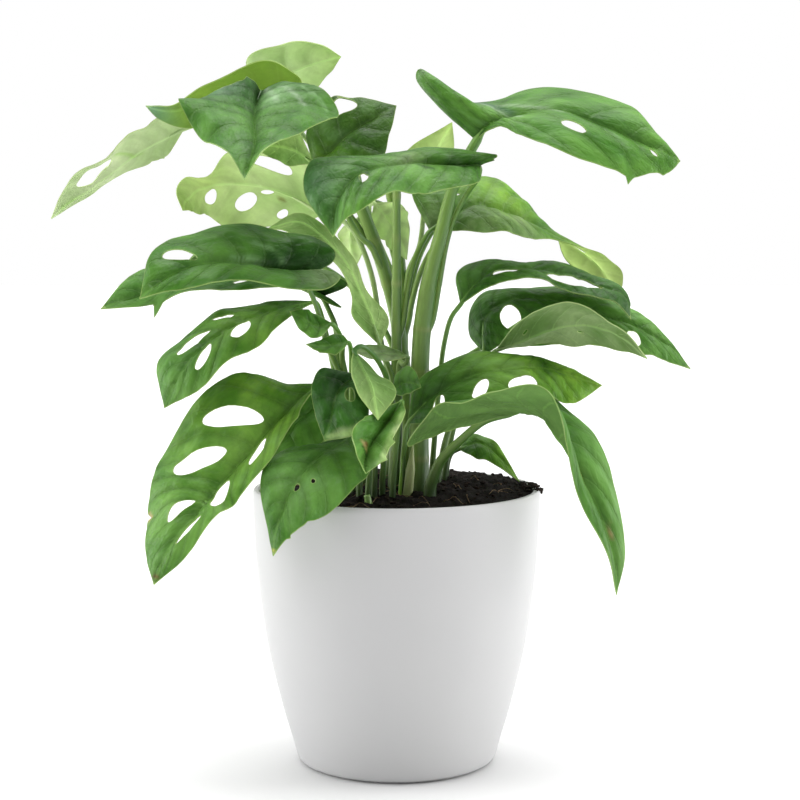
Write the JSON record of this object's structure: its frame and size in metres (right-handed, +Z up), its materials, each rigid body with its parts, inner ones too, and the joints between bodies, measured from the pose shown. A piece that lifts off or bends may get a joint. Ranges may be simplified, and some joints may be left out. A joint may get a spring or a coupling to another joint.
{
  "type": "potted monstera adansonii",
  "caption": "House plant with arching heart-shaped leaves pierced between their veins, on upright green shoots in a round tapered plastic pot of dark soil.",
  "frame": {"origin": "centre of the pot's flat underside", "axes": "+Z up along the pot's axis, -Y towards the front from which the plant is seen"},
  "size_m": [0.3183, 0.1982, 0.3538],
  "materials": {
    "leaf_mature": "satin green leaf blade and stalk",
    "leaf_shade": "matt grey-green leaf underside",
    "leaf_young": "satin olive-green leaf",
    "leaf_new": "soft lime-green new leaf",
    "shoot": "smooth pale green shoot",
    "soil": "crumbly dark peaty potting soil",
    "pot": "matt white plastic"
  },
  "bodies": {
    "root": {"leaf_back_high": "leaf_shade", "leaf_back_left": "leaf_mature", "leaf_back_low": "leaf_mature", "leaf_back_pale_small": "leaf_new", "leaf_back_right": "leaf_mature", "leaf_back_right_high": "leaf_mature", "leaf_behind_front_left": "leaf_shade", "leaf_centre_curl": "leaf_mature", "leaf_centre_flat": "leaf_shade", "leaf_centre_grey": "leaf_shade", "leaf_centre_hanging": "leaf_shade", "leaf_far_left": "leaf_young", "leaf_front_cupped": "leaf_mature", "leaf_front_dark": "leaf_mature", "leaf_front_low": "leaf_mature", "leaf_left_big": "leaf_mature", "leaf_left_dark": "leaf_mature", "leaf_left_holed": "leaf_mature", "leaf_left_small": "leaf_mature", "leaf_left_under": "leaf_mature", "leaf_left_upper": "leaf_mature", "leaf_low_behind": "leaf_mature", "leaf_pale_left": "leaf_new", "leaf_pale_scrap": "leaf_new", "leaf_pale_top_middle": "leaf_new", "leaf_right": "leaf_mature", "leaf_right_arching": "leaf_mature", "leaf_right_broad": "leaf_mature", "leaf_right_curled": "leaf_mature", "leaf_right_grey": "leaf_shade", "leaf_right_lime": "leaf_new", "leaf_right_low": "leaf_mature", "leaf_small_middle": "leaf_mature", "leaf_top_lime": "leaf_new", "leaf_upper_centre": "leaf_mature", "leaf_upper_left_front": "leaf_mature", "leaf_upper_left_olive": "leaf_young", "leaf_upper_middle": "leaf_mature", "leaf_upper_right": "leaf_mature", "pot": "pot", "shoot_back": "shoot", "shoot_bright": "shoot", "shoot_left": "shoot", "shoot_middle": "shoot", "shoot_right": "shoot", "soil": "soil"}
  },
  "joints": []
}
